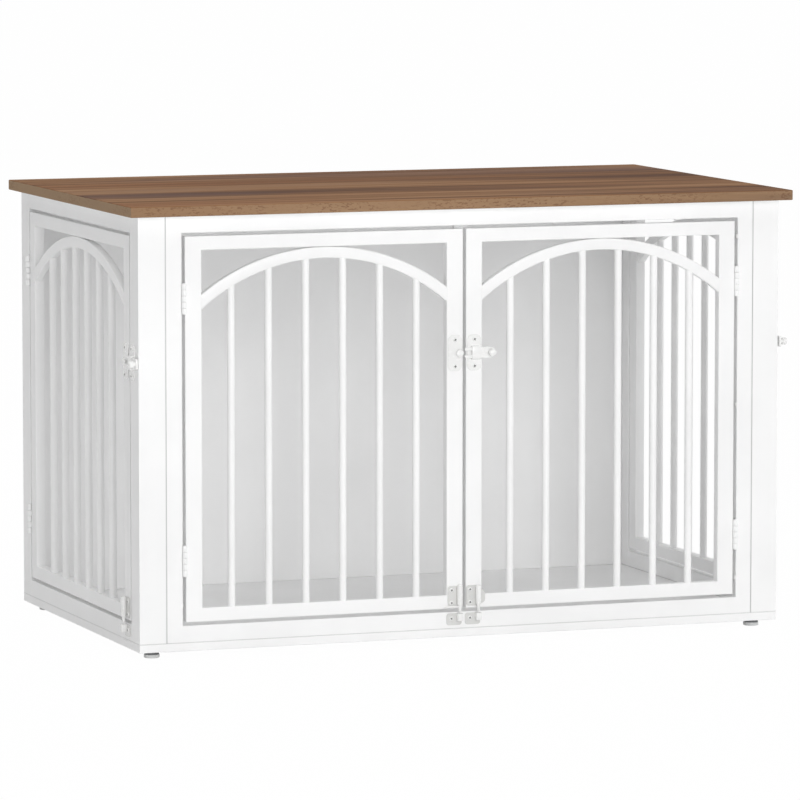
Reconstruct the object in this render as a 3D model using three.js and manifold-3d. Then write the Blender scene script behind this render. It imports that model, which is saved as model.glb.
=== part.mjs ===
// Dog crate end table: a wood-look top on a white cabin with four barred doors.
// The two front doors and one door in each side hang on butt hinges with interleaved knuckles.
// Slide latches hold the doors shut at hand height, and drop bolts hold them at the bottom.
// Millimetres, +Z up, the front faces -Y, the origin is on the floor under the top's centre.
import * as THREE from "three";
import { mergeVertices } from "three/addons/utils/BufferGeometryUtils.js";
import Module from "manifold-3d";

// Carcase
const bodyWidth = 1000;
const bodyDepth = 584;
const wallHeight = 619; // from the base board to the underside of the top
const boardThickness = 15; // posts, rails and door frames
const baseThickness = 12;
const backPanelThickness = 12;
const topThickness = 15;
const sideOverhang = 15.5;
const frontOverhang = 17;
const backOverhang = 15;
const postFrontWidth = 41; // the leg of a front post that shows from the front
const postSideWidth = 39; // the width of every post as the side shows it
const frameStile = 24.5; // upright of the fixed front frame
const railHeight = 25; // fixed rails above and below every door
const edgeBreak = 0.75; // chamfer that draws the line between two boards
const footDiameter = 23;
const footHeight = 11;
const footNeckDiameter = 17;
const footNeckHeight = 4;
const footSideInset = 27.5;
const footEndInset = 30;

// Doors and their grilles
const doorGap = 5;
const doorStile = 25;
const doorRail = 20;
const barsPerDoor = 6;
const barDiameter = 11;
const barSetback = 5.75; // from the door's outer face to the bars' axis
const frontBarMargin = 46; // from the window's edge to the first bar
const sideBarMargin = 76;
const archRise = 64;
const archBand = 16.5;
const archDepth = 12;
const weldGap = 0.3;
const stopWidth = 20;
const stopDrop = 25; // how far the door stop reaches below the top rail
const stopSeat = 20; // how far it runs up the back of the rail
const stopReach = 11;
const stopNose = 12.5; // upright part of the wedge behind the doors
const stopCrest = 3.7; // thickness left at the wedge's upper end

// Butt hinges
const hingeHeight = 44;
const hingeEndInset = 67.5; // from the end of the door to the end of the hinge
const hingeProud = 3; // the pin's axis stands this far in front of the door
const knuckleDiameter = 7;
const knuckleCount = 5;
const pinDiameter = 3;
const pinHeadDiameter = 4.6;
const pinHeadHeight = 0.9;
const leafThickness = 1.2;
const leafInset = 0.8; // from the door's face to the leaf's front edge
const leafReach = 13; // from the door's face to the leaf's back edge
const runningGap = 0.3; // between pieces that slide or turn on each other
const cutMargin = 1; // how far a cut reaches past the piece that it opens

// Slide latches
const latchHeight = 430; // above the floor
const plateThickness = 1.5;
const latchPlateWidth = 22;
const latchPlateHeight = 53;
const latchPlateInset = 1.5; // from the edge that the plate stands beside
const latchPlateRound = 8;
const studInset = 6.5; // from the free edge of the door to the stud
const studDiameter = 6;
const studHeadDiameter = 11.5;
const studHeadHeight = 2.8;
const studHeadEdge = 1; // chamfer of the stud's head
const latchBarLength = 46;
const latchBarHeight = 16;
const latchBarThickness = 3;
const latchBarRound = 3;
const latchBarOverlap = 3.5; // how far the drawn-back bar reaches into the gap
const forkDepth = 12;
const bridgeStart = 7.5; // from the edge that the housing plate stands beside
const bridgeLength = 14;
const bridgeWall = 1.8;
const bridgeRound = 1.2;
const knobInset = 5; // from the end of the bar to the knob
const knobStemDiameter = 6;
const knobDiameter = 11;
const knobReach = 15.5; // from the door's face to the top of the knob
const knobClearance = 1.1; // from the bridge's roof to the knob
const knobEdge = 0.8; // chamfer of the knob's lower edge
const knobShoulder = 2; // height of the knob's domed end
const knobCrest = 1.5; // how far the dome's first step draws in

// Drop bolts
const boltPlateReach = 17.5; // from the rod's axis to the plate's far edge
const boltPlateRise = 3; // from the door's lower edge to the plate
const boltPlateHeight = 30.5;
const boltPlateRound = 4;
const boltPlateLap = 2; // how far the plate runs on past the rod's axis, under the barrel
const barrelRise = 5.5; // from the door's lower edge to the barrel
const barrelWall = 1.4;
const rodDiameter = 5;
const rodSetOff = 4.75; // from the door's face to the rod's axis
const rodPoint = 1; // the chamfer at the rod's tip
const leverBoltInset = 6; // from the door's free edge to the rod's axis
const leverBoltRodLength = 41;
const leverRise = 3.2; // from the door's lower edge to the lever's axis
const leverReach = 24;
const leverDiameter = 3;
const tabBoltInset = 18;
const tabBoltRodLength = 34;
const tabRise = 7;
const tabHeight = 20.5;
const tabReach = 10.5;
const tabThickness = 1.8;
const tabRound = 6;
const keeperDrop = 2; // from the rail's upper edge to the keeper
const keeperHeight = 17.5;
const keeperMargin = 2; // the keeper plate is this much wider than the bolt's
const keeperLoopHeight = 11;
const keeperClearance = 0.75; // around the rod
const keeperWall = 1;
const keeperRound = 1.2;
const tipRise = 2.5; // the raised rod's tip stands this far above its keeper

// Levels and places that follow
const gridPitch = 1 / 128; // vertices lie on a grid that 32-bit numbers hold exactly
const onGrid = (value) => Math.round(value / gridPitch) * gridPitch;
const baseTop = footHeight + baseThickness;
const wallTop = baseTop + wallHeight;
const doorBottom = baseTop + railHeight + doorGap;
const doorTop = wallTop - railHeight - doorGap;
const frontPlane = (frontOverhang - backOverhang - bodyDepth) / 2;
const halfWidth = bodyWidth / 2;
const frontOpening = halfWidth - postFrontWidth - frameStile;
const barPlane = plateThickness + runningGap; // back of the latch bar
const studTop = barPlane + latchBarThickness + runningGap;
const barrelRadius = rodDiameter / 2 + runningGap + barrelWall;
const keeperTop = baseTop + railHeight - keeperDrop;
const roundSides = 12;
const barrelSides = 16;
const knobSides = 18;
const footSides = 20;
const leverSides = 10;
const arcSteps = 12;

// Finishes: each piece gets a material of its own.
const finish = (color, roughness, metalness) => () =>
  new THREE.MeshStandardMaterial({ color, roughness, metalness });
const woodTop = finish(0x7a5236, 0.5, 0);
const whiteBoard = finish(0xf0f0ee, 0.45, 0);
const whiteMetal = finish(0xf4f4f2, 0.35, 0.1);
const latchMetal = finish(0xe6e6e3, 0.3, 0.3);
const greyPlastic = finish(0x8d8f90, 0.6, 0);

// Manifold joins and cuts closed geometries, and what it made before.
const wasm = await Module();
wasm.setup();

function solidOf(geometry) {
  if (!geometry.isBufferGeometry) return geometry;
  const bare = geometry.clone();
  bare.deleteAttribute("normal");
  bare.deleteAttribute("uv");
  const merged = mergeVertices(bare, 1e-4);
  const triVerts = new Uint32Array(merged.index.array);
  const vertProperties = merged.attributes.position.array;
  return new wasm.Manifold(new wasm.Mesh({ numProp: 3, vertProperties, triVerts }));
}

function geometryOf(solid) {
  const { vertProperties, triVerts } = solid.getMesh();
  const geometry = new THREE.BufferGeometry();
  geometry.setAttribute("position", new THREE.BufferAttribute(vertProperties, 3));
  geometry.setIndex(new THREE.BufferAttribute(triVerts, 1));
  geometry.computeVertexNormals();
  return geometry;
}

function joined(...pieces) {
  return pieces.map(solidOf).reduce((whole, piece) => whole.add(piece));
}

function cutFrom(piece, ...tools) {
  return tools.map(solidOf).reduce((rest, tool) => rest.subtract(tool), solidOf(piece));
}

// A named mesh in its group, with its vertices and its place on the grid.
function addPart(group, name, piece, material, x = 0, z = 0) {
  const geometry = piece.isBufferGeometry ? piece : geometryOf(piece);
  const coordinates = geometry.attributes.position.array;
  coordinates.forEach((value, i) => {
    coordinates[i] = onGrid(value);
  });
  const mesh = new THREE.Mesh(geometry, material());
  mesh.name = name;
  mesh.position.set(onGrid(x), 0, onGrid(z));
  group.add(mesh);
}

// Outlines
function outline(points) {
  return new THREE.Shape(points.map(([x, y]) => new THREE.Vector2(x, y)));
}

function rectangle(left, right, low, high) {
  return outline([
    [left, low],
    [right, low],
    [right, high],
    [left, high],
  ]);
}

function roundedRectangle(left, right, low, high, radius) {
  const shape = new THREE.Shape();
  const quarter = Math.PI / 2;
  shape.absarc(right - radius, low + radius, radius, -quarter, 0);
  shape.absarc(right - radius, high - radius, radius, 0, quarter);
  shape.absarc(left + radius, high - radius, radius, quarter, 2 * quarter);
  shape.absarc(left + radius, low + radius, radius, 2 * quarter, 3 * quarter);
  return shape;
}

// Bodies: an outline carried straight, with its edges broken where a chamfer is given
function alongZ(shape, length, chamfer = 0, curveSegments = 2) {
  return new THREE.ExtrudeGeometry(shape, {
    depth: length - 2 * chamfer,
    bevelEnabled: chamfer > 0,
    bevelThickness: chamfer,
    bevelSize: chamfer,
    bevelOffset: -chamfer,
    bevelSegments: 1,
    curveSegments,
  }).translate(0, 0, chamfer);
}

// An outline in x and z that fills the thickness behind a face
function behindFace(shape, thickness, chamfer = 0, curveSegments = 2) {
  return alongZ(shape, thickness, chamfer, curveSegments).rotateX(Math.PI / 2).translate(0, thickness, 0);
}

// An outline in x and z that stands in front of a face, from `start` outwards
function beforeFace(shape, start, thickness, curveSegments = 2) {
  return alongZ(shape, thickness, 0, curveSegments).rotateX(Math.PI / 2).translate(0, -start, 0);
}

// An outline in y and z carried along x
function alongX(shape, start, length) {
  return alongZ(shape, length).rotateX(Math.PI / 2).rotateZ(Math.PI / 2).translate(start, 0, 0);
}

// An upright round bar
function upright(radius, low, high, sides = roundSides) {
  const bar = new THREE.CylinderGeometry(radius, radius, high - low, sides);
  return bar.rotateX(Math.PI / 2).translate(0, 0, (low + high) / 2);
}

// A revolved profile of [radius, distance from the face] that stands out of a face
function turned(profile, sides = knobSides) {
  const points = profile.map(([radius, height]) => new THREE.Vector2(radius, height));
  return new THREE.LatheGeometry(points, sides).rotateX(Math.PI);
}

// Carcase boards
function makeTop(group) {
  const shape = rectangle(
    -halfWidth - sideOverhang,
    halfWidth + sideOverhang,
    frontPlane - frontOverhang,
    frontPlane + bodyDepth + backOverhang,
  );
  addPart(group, "top_board", alongZ(shape, topThickness, edgeBreak), woodTop, 0, wallTop);
}

function makeBase(group) {
  const shape = rectangle(-halfWidth, halfWidth, frontPlane, frontPlane + bodyDepth);
  addPart(group, "base_board", alongZ(shape, baseThickness, edgeBreak), whiteBoard, 0, footHeight);
}

// The back panel stands between the rear posts, flush with the back of the base.
function makeBackPanel(group) {
  const half = halfWidth - boardThickness;
  const panel = behindFace(rectangle(-half, half, baseTop, wallTop), backPanelThickness, edgeBreak);
  panel.translate(0, bodyDepth - backPanelThickness, 0);
  addPart(group, "back_panel", panel, whiteBoard);
}

// The fixed front frame is one ring between the front posts.
function makeFrontFrame(group) {
  const outer = halfWidth - postFrontWidth;
  const ring = rectangle(-outer, outer, baseTop, wallTop);
  ring.holes.push(
    rectangle(-frontOpening, frontOpening, baseTop + railHeight, wallTop - railHeight),
  );
  addPart(group, "front_frame", behindFace(ring, boardThickness, edgeBreak), whiteBoard);
}

// A wedge on the back of the top rail that both front doors close against
function makeDoorStop(group) {
  const railBottom = wallTop - railHeight;
  const back = boardThickness + weldGap;
  const profile = outline([
    [back, railBottom - stopDrop],
    [boardThickness + stopReach, railBottom - stopDrop],
    [boardThickness + stopReach, railBottom - stopDrop + stopNose],
    [boardThickness + stopCrest, railBottom + stopSeat],
    [back, railBottom + stopSeat],
  ]);
  addPart(group, "door_stop", alongX(profile, -stopWidth / 2, stopWidth), whiteBoard);
}

// Posts and rails of one side, seen from outside with the front corner at x = 0
function makeSidePosts(group, side) {
  const corner = outline([
    [0, 0],
    [0, postFrontWidth],
    [-boardThickness, postFrontWidth],
    [-boardThickness, boardThickness],
    [-postSideWidth, boardThickness],
    [-postSideWidth, 0],
  ]);
  addPart(group, `${side}_front_post`, alongZ(corner, wallHeight, edgeBreak), whiteBoard, 0, baseTop);
  const rear = rectangle(-bodyDepth, postSideWidth - bodyDepth, baseTop, wallTop);
  addPart(group, `${side}_rear_post`, behindFace(rear, boardThickness, edgeBreak), whiteBoard);
}

function makeSideRails(group, side, rodAt) {
  const rail = (low) =>
    behindFace(
      rectangle(postSideWidth - bodyDepth, -postSideWidth, low, low + railHeight),
      boardThickness,
      edgeBreak,
    );
  addPart(group, `${side}_top_rail`, rail(wallTop - railHeight), whiteBoard);
  addPart(group, `${side}_bottom_rail`, joined(rail(baseTop), boltKeeper(rodAt)), whiteBoard);
}

// A levelling foot: a wide disc under a narrower neck
function makeFoot(group, name, x) {
  const profile = [
    [0, 0],
    [footDiameter / 2 - 1, 0],
    [footDiameter / 2, 1],
    [footDiameter / 2, footHeight - footNeckHeight - 1],
    [footDiameter / 2 - 1, footHeight - footNeckHeight],
    [footNeckDiameter / 2, footHeight - footNeckHeight],
    [footNeckDiameter / 2, footHeight],
    [0, footHeight],
  ].map(([radius, height]) => new THREE.Vector2(radius, height));
  const foot = new THREE.LatheGeometry(profile, footSides).rotateX(Math.PI / 2);
  addPart(group, name, foot.translate(0, footSideInset, 0), greyPlastic, x);
}

// Doors: a square-cornered frame around a window, with its hinge side at the left
function makeDoor(group, prefix, left, right) {
  const ring = rectangle(left, right, doorBottom, doorTop);
  ring.holes.push(
    rectangle(left + doorStile, right - doorStile, doorBottom + doorRail, doorTop - doorRail),
  );
  addPart(group, `${prefix}_frame`, behindFace(ring, boardThickness, edgeBreak), whiteBoard);
}

// The welded grille: upright round bars that run up into a flat arch. The arch is part of a ring
// whose radius follows from its chord, the window's width, and its rise.
function makeGrille(group, prefix, left, right, barMargin) {
  const half = (right - left) / 2 - doorStile - weldGap;
  const low = doorBottom + doorRail + weldGap;
  const crown = doorTop - doorRail - weldGap;
  const outer = (half * half + archRise * archRise) / (2 * archRise);
  const inner = outer - archBand;
  const centre = crown - outer;
  const quarter = Math.PI / 2;
  const band = new THREE.Shape();
  band.absarc(0, centre, outer, quarter - Math.asin(half / outer), quarter + Math.asin(half / outer));
  band.absarc(0, centre, inner, quarter + Math.asin(half / inner), quarter - Math.asin(half / inner), true);
  const arch = behindFace(band, archDepth, 0, arcSteps);
  const pitch = (2 * (half + weldGap - barMargin)) / (barsPerDoor - 1);
  const bars = Array.from({ length: barsPerDoor }, (_, i) => {
    const x = (i - (barsPerDoor - 1) / 2) * pitch;
    const top = centre + Math.sqrt((outer - archBand / 2) ** 2 - x * x);
    return upright(barDiameter / 2, low, top).translate(x, barSetback, 0);
  });
  addPart(group, `${prefix}_grille`, joined(arch, ...bars), whiteMetal, (left + right) / 2);
}

// One butt hinge. Its leaves lie on the two faces of the gap, and their knuckles alternate along
// the pin, which is fixed in the frame leaf's knuckles and runs free in the door leaf's.
function makeHinge(group, prefix, height, x, low) {
  const pitch = hingeHeight / knuckleCount;
  const axis = -hingeProud;
  const leaf = (side, knuckles) => {
    const face = (side * doorGap) / 2;
    const inner = face - side * leafThickness;
    const plate = alongZ(
      rectangle(Math.min(face, inner), Math.max(face, inner), leafInset, leafReach),
      hingeHeight,
    );
    const tongues = knuckles.flatMap((k) => {
      const from = k * pitch + runningGap / 2;
      const tongue = rectangle(Math.min(face, inner), Math.max(face, inner), axis, leafInset + 1);
      return [
        alongZ(tongue, pitch - runningGap).translate(0, 0, from),
        upright(knuckleDiameter / 2, from, from + pitch - runningGap).translate(0, axis, 0),
      ];
    });
    return joined(plate, ...tongues);
  };
  const every = Array.from({ length: knuckleCount }, (_, k) => k);
  const pin = [
    upright(pinDiameter / 2, 0, hingeHeight),
    upright(pinHeadDiameter / 2, -pinHeadHeight, runningGap),
    upright(pinHeadDiameter / 2, hingeHeight - runningGap, hingeHeight + pinHeadHeight),
  ].map((piece) => piece.translate(0, axis, 0));
  const frameLeaf = joined(leaf(-1, every.filter((k) => k % 2 === 0)), ...pin);
  const bore = upright(pinDiameter / 2 + runningGap, -1, hingeHeight + 1).translate(0, axis, 0);
  const doorLeaf = cutFrom(leaf(1, every.filter((k) => k % 2 === 1)), bore);
  addPart(group, `${prefix}_${height}_frame_leaf`, frameLeaf, whiteMetal, x, low);
  addPart(group, `${prefix}_${height}_door_leaf`, doorLeaf, whiteMetal, x, low);
}

// Slide latch about the middle of a gap: the stud plate is on the left of it, and the housing on
// the right. The bar is drawn back here; it slides to the left, and its open fork then straddles
// the stud's stem under the head.
function makeLatch(group, prefix, gapCentre) {
  const edge = doorGap / 2;
  const halfHeight = latchPlateHeight / 2;
  const plate = (side) => {
    const near = side * (edge + latchPlateInset);
    const far = near + side * latchPlateWidth;
    const shape = roundedRectangle(
      Math.min(near, far),
      Math.max(near, far),
      -halfHeight,
      halfHeight,
      latchPlateRound,
    );
    return beforeFace(shape, 0, plateThickness);
  };
  const stud = turned([
    [0, plateThickness / 2],
    [studDiameter / 2, plateThickness / 2],
    [studDiameter / 2, studTop],
    [studHeadDiameter / 2, studTop],
    [studHeadDiameter / 2, studTop + studHeadHeight / 2],
    [studHeadDiameter / 2 - studHeadEdge, studTop + studHeadHeight],
    [0, studTop + studHeadHeight],
  ]).translate(-edge - studInset, 0, 0);
  addPart(group, `${prefix}_stud_plate`, joined(plate(-1), stud), latchMetal, gapCentre, latchHeight);

  const tunnelTop = latchBarHeight / 2 + runningGap;
  const bridgeTop = tunnelTop + bridgeWall;
  const roof = studTop + bridgeWall;
  const bridge = outline([
    [0, -bridgeTop],
    [0, bridgeTop],
    [-roof + bridgeRound, bridgeTop],
    [-roof, bridgeTop - bridgeRound],
    [-roof, bridgeRound - bridgeTop],
    [-roof + bridgeRound, -bridgeTop],
  ]);
  bridge.holes.push(rectangle(-studTop, -plateThickness, -tunnelTop, tunnelTop));
  const housing = joined(plate(1), alongX(bridge, edge + bridgeStart, bridgeLength));
  addPart(group, `${prefix}_housing`, housing, latchMetal, gapCentre, latchHeight);

  const tip = edge - latchBarOverlap;
  const end = tip + latchBarLength;
  const halfBar = latchBarHeight / 2;
  const blank = beforeFace(
    roundedRectangle(tip, end, -halfBar, halfBar, latchBarRound),
    barPlane,
    latchBarThickness,
  );
  const slot = studDiameter / 2 + runningGap;
  const forkEnd = tip + forkDepth - slot;
  const forkShape = new THREE.Shape();
  forkShape.moveTo(tip - cutMargin, -slot);
  forkShape.lineTo(forkEnd, -slot);
  forkShape.absarc(forkEnd, 0, slot, -Math.PI / 2, Math.PI / 2);
  forkShape.lineTo(tip - cutMargin, slot);
  const fork = beforeFace(forkShape, barPlane - cutMargin, latchBarThickness + 2 * cutMargin, 3);
  const knobBase = roof + knobClearance;
  const knob = turned([
    [0, barPlane + latchBarThickness / 2],
    [knobStemDiameter / 2, barPlane + latchBarThickness / 2],
    [knobStemDiameter / 2, knobBase],
    [knobDiameter / 2 - knobEdge, knobBase],
    [knobDiameter / 2, knobBase + knobEdge],
    [knobDiameter / 2, knobReach - knobShoulder],
    [knobDiameter / 2 - knobCrest, knobReach - knobShoulder / 4],
    [knobDiameter / 4, knobReach],
    [0, knobReach],
  ]).translate(end - knobInset, 0, 0);
  const bar = joined(cutFrom(blank, fork), knob);
  addPart(group, `${prefix}_bar`, bar, latchMetal, gapCentre, latchHeight);
}

// Bolt body: a plate with a barrel rolled at its edge. The rod's axis is at x = 0, the plate runs
// to +x, and the slot for a flat tab opens the barrel's other side from below.
function boltBody(slotTop) {
  const low = doorBottom + boltPlateRise;
  const high = low + boltPlateHeight;
  const barrelLow = doorBottom + barrelRise;
  const plateShape = roundedRectangle(-boltPlateLap, boltPlateReach, low, high, boltPlateRound);
  const plate = beforeFace(plateShape, 0, plateThickness);
  const root = beforeFace(rectangle(-boltPlateLap, boltPlateRound, barrelLow, high), 0, plateThickness);
  const barrel = upright(barrelRadius, barrelLow, high, barrelSides).translate(0, -rodSetOff, 0);
  const bore = upright(rodDiameter / 2 + runningGap, low - cutMargin, high + cutMargin);
  bore.translate(0, -rodSetOff, 0);
  const body = cutFrom(joined(plate, root, barrel), bore);
  if (!slotTop) return body;
  const slotHalf = tabThickness / 2 + runningGap;
  const slot = rectangle(-barrelRadius - cutMargin, 0, -rodSetOff - slotHalf, -rodSetOff + slotHalf);
  const slotLow = low - cutMargin;
  return cutFrom(body, alongZ(slot, slotTop - slotLow).translate(0, 0, slotLow));
}

function boltRod(length) {
  const tip = keeperTop + tipRise;
  const radius = rodDiameter / 2;
  const profile = [
    [0, tip],
    [radius - rodPoint, tip],
    [radius, tip + rodPoint],
    [radius, tip + length],
    [0, tip + length],
  ].map(([r, height]) => new THREE.Vector2(r, height));
  return new THREE.LatheGeometry(profile, roundSides).rotateX(Math.PI / 2).translate(0, -rodSetOff, 0);
}

// Keeper: a plate with a strap bent over the path of a rod whose axis is at `rodAt`
function boltKeeper(rodAt = 0) {
  const inner = rodDiameter / 2 + keeperClearance;
  const outer = inner + keeperWall;
  const front = -rodSetOff - inner;
  const plateShape = roundedRectangle(
    -outer,
    boltPlateReach + keeperMargin,
    keeperTop - keeperHeight,
    keeperTop,
    boltPlateRound,
  );
  const strap = outline([
    [-outer, 0],
    [-outer, front - keeperWall + keeperRound],
    [keeperRound - outer, front - keeperWall],
    [outer - keeperRound, front - keeperWall],
    [outer, front - keeperWall + keeperRound],
    [outer, 0],
  ]);
  strap.holes.push(rectangle(-inner, inner, front, -plateThickness));
  const loop = alongZ(strap, keeperLoopHeight).translate(rodAt, 0, keeperTop - keeperLoopHeight);
  return joined(beforeFace(plateShape, 0, plateThickness).translate(rodAt, 0, 0), loop);
}

// The front left bolt is moved by a round lever that leaves the rod below the barrel.
function makeLeverBolt(group, prefix, x) {
  const lever = upright(leverDiameter / 2, 0, leverReach, leverSides).rotateY(Math.PI / 2);
  lever.translate(0, -rodSetOff, doorBottom + leverRise);
  addPart(group, `${prefix}_bolt_body`, boltBody(0), latchMetal, x);
  addPart(group, `${prefix}_bolt_rod`, joined(boltRod(leverBoltRodLength), lever), latchMetal, x);
  addPart(group, `${prefix}_bolt_keeper`, boltKeeper(), latchMetal, x);
}

// The other bolts are moved by a flat tab that runs in the barrel's slot.
function makeTabBolt(group, prefix, x) {
  const low = doorBottom + tabRise;
  const flag = new THREE.Shape();
  flag.moveTo(0, low);
  flag.lineTo(tabRound - tabReach, low);
  flag.absarc(tabRound - tabReach, low + tabRound, tabRound, -Math.PI / 2, -Math.PI, true);
  flag.absarc(tabRound - tabReach, low + tabHeight - tabRound, tabRound, Math.PI, Math.PI / 2, true);
  flag.lineTo(0, low + tabHeight);
  const tab = beforeFace(flag, rodSetOff - tabThickness / 2, tabThickness, 3);
  const slotTop = low + tabHeight + runningGap;
  addPart(group, `${prefix}_bolt_body`, boltBody(slotTop), latchMetal, x);
  addPart(group, `${prefix}_bolt_rod`, joined(boltRod(tabBoltRodLength), tab), latchMetal, x);
}

// A door with its grille and hinges, hung at the left of the span between two fixed edges
function hangDoor(group, prefix, hingeEdge, latchEdge, barMargin) {
  const left = hingeEdge + doorGap;
  const right = latchEdge - doorGap;
  makeDoor(group, prefix, left, right);
  makeGrille(group, prefix, left, right, barMargin);
  const pinLine = hingeEdge + doorGap / 2;
  makeHinge(group, prefix, "lower_hinge", pinLine, doorBottom + hingeEndInset);
  makeHinge(group, prefix, "upper_hinge", pinLine, doorTop - hingeEndInset - hingeHeight);
}

// A group in front of a face: x runs along the face, y into the object
function faceGroup(parent, x, y, turn = 0, mirror = 1) {
  const group = new THREE.Group();
  group.position.set(onGrid(x), onGrid(y), 0);
  group.rotation.z = turn;
  group.scale.x = mirror;
  parent.add(group);
  return group;
}

const table = new THREE.Group();
makeTop(table);
makeBase(table);

// Front: the right half is the mirror image of the left one, apart from its bolt.
const front = faceGroup(table, 0, frontPlane);
makeBackPanel(front);
makeFrontFrame(front);
makeDoorStop(front);
makeLatch(front, "front_latch", 0);
const frontRight = faceGroup(front, 0, 0, 0, -1);
const freeEdge = -doorGap / 2;
hangDoor(front, "front_left_door", -frontOpening, doorGap / 2, frontBarMargin);
hangDoor(frontRight, "front_right_door", -frontOpening, doorGap / 2, frontBarMargin);
const leverSide = faceGroup(front, freeEdge - leverBoltInset, 0, 0, -1);
makeLeverBolt(leverSide, "front_left", 0);
makeTabBolt(frontRight, "front_right", freeEdge - tabBoltInset);
addPart(frontRight, "front_right_bolt_keeper", boltKeeper(), latchMetal, freeEdge - tabBoltInset);

// Sides: the right side is the mirror image of the left one.
for (const side of ["left", "right"]) {
  const mirrored = faceGroup(table, 0, 0, 0, side === "left" ? 1 : -1);
  const face = faceGroup(mirrored, -halfWidth, frontPlane, -Math.PI / 2);
  const doorEdge = -postSideWidth - doorGap;
  makeSidePosts(face, side);
  makeSideRails(face, side, doorEdge - tabBoltInset);
  hangDoor(face, `${side}_side_door`, postSideWidth - bodyDepth, -postSideWidth, sideBarMargin);
  makeLatch(face, `${side}_side_latch`, -postSideWidth - doorGap / 2);
  makeTabBolt(face, `${side}_side`, doorEdge - tabBoltInset);
  makeFoot(face, `${side}_front_foot`, -footEndInset);
  makeFoot(face, `${side}_rear_foot`, footEndInset - bodyDepth);
}

export default table;
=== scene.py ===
import math

import bpy
import numpy as np
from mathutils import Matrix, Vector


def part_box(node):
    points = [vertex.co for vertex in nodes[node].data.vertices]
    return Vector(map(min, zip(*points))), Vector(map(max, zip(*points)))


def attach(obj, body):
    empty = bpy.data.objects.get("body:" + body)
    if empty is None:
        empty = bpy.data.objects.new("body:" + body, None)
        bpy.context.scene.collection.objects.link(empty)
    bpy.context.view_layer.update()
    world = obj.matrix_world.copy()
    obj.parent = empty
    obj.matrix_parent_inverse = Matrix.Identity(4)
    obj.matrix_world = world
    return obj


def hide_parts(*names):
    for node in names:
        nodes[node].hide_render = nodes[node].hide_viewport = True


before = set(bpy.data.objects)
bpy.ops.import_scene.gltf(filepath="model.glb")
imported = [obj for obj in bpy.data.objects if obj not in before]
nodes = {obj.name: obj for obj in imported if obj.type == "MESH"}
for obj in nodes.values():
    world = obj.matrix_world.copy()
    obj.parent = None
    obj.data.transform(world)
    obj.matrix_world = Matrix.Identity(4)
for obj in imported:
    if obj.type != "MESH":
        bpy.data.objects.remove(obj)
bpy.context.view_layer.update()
mm = 0.001
print("frame loaded:", len(nodes), "nodes")


# How far a CAD node reaches to each side, in millimetres
def reachOf(node):
    low, high = (np.round(np.array(corner, float) / mm, 3).tolist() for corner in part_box(node))
    return dict(zip(("left", "front", "bottom", "right", "back", "top"), low + high))


base, door = reachOf("base_board"), reachOf("front_left_door_frame")
frontPost, rearPost = reachOf("left_front_post"), reachOf("left_rear_post")
topRail = reachOf("left_top_rail")
table = {
    "halfWidth": base["right"],
    "front": base["front"],
    "depth": base["back"] - base["front"],
    "floorTop": base["top"],
    "wallTop": rearPost["top"],
    "board": rearPost["right"] - rearPost["left"],
    "leg": frontPost["right"] - frontPost["left"],  # width of the front posts from the front
    "post": rearPost["back"] - rearPost["front"],  # width of the posts as the side shows them
    "rail": topRail["top"] - topRail["bottom"],
    "doorLow": door["bottom"],
    "doorHigh": door["top"],
    "stile": 25.0,
    "doorRail": 20.0,
    "gap": -2 * door["right"],  # the front doors end on either side of x = 0
    "opening": -2 * door["right"] - door["left"],  # half the opening of the front frame
    "edgeBreak": 0.75,
}


# One value in a node tree. Arithmetic on it adds Math nodes, also where it stands on the right.
class Signal:
    def __init__(self, graph, socket):
        self.graph = graph
        self.socket = socket

    def worked(self, operation, first, second=0.0):
        return self.graph.node("ShaderNodeMath", {"operation": operation}, {0: first, 1: second})

    def __add__(self, other):
        return self.worked("ADD", self, other)

    def __radd__(self, other):
        return self.worked("ADD", other, self)

    def __sub__(self, other):
        return self.worked("SUBTRACT", self, other)

    def __rsub__(self, other):
        return self.worked("SUBTRACT", other, self)

    def __mul__(self, other):
        return self.worked("MULTIPLY", self, other)

    def __rmul__(self, other):
        return self.worked("MULTIPLY", other, self)

    def __pow__(self, other):
        return self.worked("POWER", self, other)

    def __rpow__(self, other):
        return self.worked("POWER", other, self)

    def absolute(self):
        return self.worked("ABSOLUTE", self)

    def sine(self):
        return self.worked("SINE", self)

    # a smooth step from 0 at low to 1 at high
    def between(self, low, high):
        return self.graph.node(
            "ShaderNodeMapRange",
            {"interpolation_type": "SMOOTHSTEP"},
            {"Value": self, "From Min": low, "From Max": high},
        )


# The node tree of a material or of the world, with the one method that makes every node
class Graph:
    def __init__(self, owner):
        owner.use_nodes = True
        self.tree = owner.node_tree

    def node(self, kind, settings=None, sockets=None, output=0):
        made = self.tree.nodes.new(kind)
        for key, value in (settings or {}).items():
            if key == "stops":
                self.setStops(made.color_ramp, value)
            else:
                setattr(made, key, value)
        for key, value in (sockets or {}).items():
            self.feed(made.inputs[key], value)
        return Signal(self, made.outputs[output])

    def setStops(self, ramp, stops):
        while len(ramp.elements) < len(stops):
            ramp.elements.new(1.0)
        for element, (position, tint) in zip(ramp.elements, stops):
            element.position = position
            element.color = tint

    def feed(self, socket, value):
        if isinstance(value, Signal):
            self.tree.links.new(value.socket, socket)
        else:
            socket.default_value = value

    # 1 for the rays that show a thing itself, in a gloss or through glass
    def seen(self):
        kinds = ("Is Camera Ray", "Is Glossy Ray", "Is Transmission Ray")
        camera, glossy, passed = (self.node("ShaderNodeLightPath", output=kind) for kind in kinds)
        return camera + glossy + passed

    # the end of the tree shows `over` by the share and `under` for the rest
    def show(self, end, under, over, share):
        both = self.node("ShaderNodeMixShader", {}, {0: share, 1: under, 2: over})
        self.feed(self.tree.nodes[end].inputs["Surface"], both)


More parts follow.
